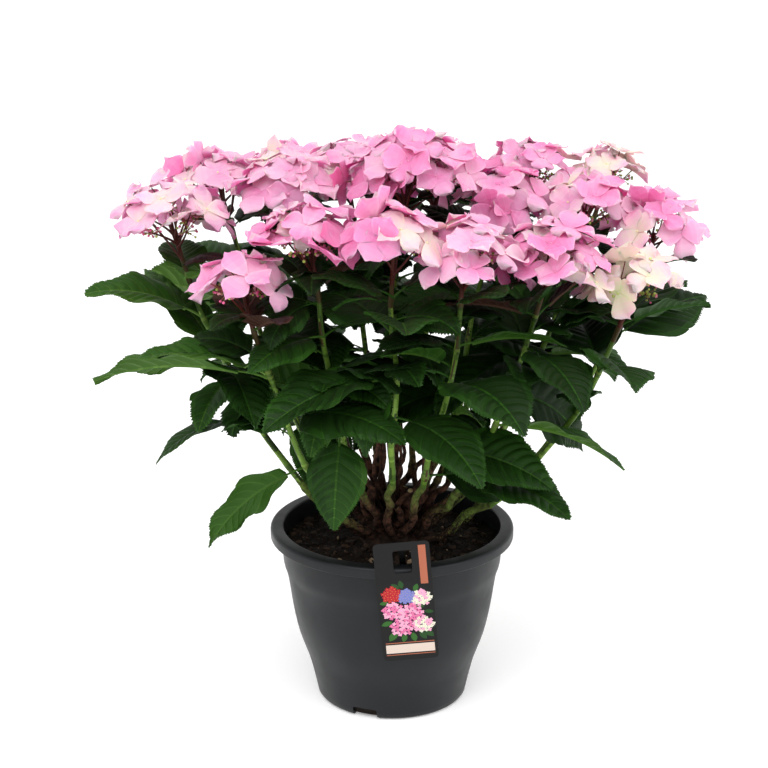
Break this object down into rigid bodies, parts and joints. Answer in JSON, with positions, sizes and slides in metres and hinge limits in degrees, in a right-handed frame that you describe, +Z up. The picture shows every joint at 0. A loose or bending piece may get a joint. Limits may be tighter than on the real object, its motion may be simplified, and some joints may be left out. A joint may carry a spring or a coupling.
{
  "type": "potted hydrangea shrub",
  "caption": "Hydrangea shrub in bloom: a fan of leafy shoots, each with a domed head of four-petalled florets, in a round tapered pot with a wide rim and a hanging blank label.",
  "frame": {"origin": "centre of the pot's flat underside, on the pot's axis", "axes": "+Z up along the pot's axis; the plant's front, with the label, faces -Y; +X to the right seen from the front"},
  "size_m": [0.6947, 0.5967, 0.6635],
  "materials": {
    "pot": "moulded anthracite plastic, satin",
    "soil": "dark potting soil with bark chips",
    "bark": "thin brown bark",
    "foliage": "green leaves and stems with pink petals",
    "label": "printed card label, satin coat"
  },
  "bodies": {
    "root": {"pot": "pot", "soil": "soil", "root_crown": "bark", "plant_label": "label", "bough_top": "bark", "bough_front": "bark", "bough_front_left": "bark", "bough_front_right": "bark", "bough_right_front": "bark", "bough_low_left": "bark", "bough_low_right": "bark", "bough_far_left": "bark", "bough_left": "bark", "bough_right": "bark", "bough_right_inner": "bark", "bough_far_right": "bark", "bough_left_back": "bark", "bough_back_left": "bark", "bough_back_middle": "bark", "bough_back_right": "bark", "bough_far_back_right": "bark", "bough_rear_left": "bark", "bough_rear_middle": "bark", "bough_rear_right": "bark", "shoot_top": "foliage", "shoot_front": "foliage", "shoot_front_left": "foliage", "shoot_front_right": "foliage", "shoot_right_front": "foliage", "shoot_low_left": "foliage", "shoot_low_right": "foliage", "shoot_far_left": "foliage", "shoot_left": "foliage", "shoot_right": "foliage", "shoot_right_inner": "foliage", "shoot_far_right": "foliage", "shoot_left_back": "foliage", "shoot_back_left": "foliage", "shoot_back_middle": "foliage", "shoot_back_right": "foliage", "shoot_far_back_right": "foliage", "shoot_rear_left": "foliage", "shoot_rear_middle": "foliage", "shoot_rear_right": "foliage"}
  },
  "joints": []
}
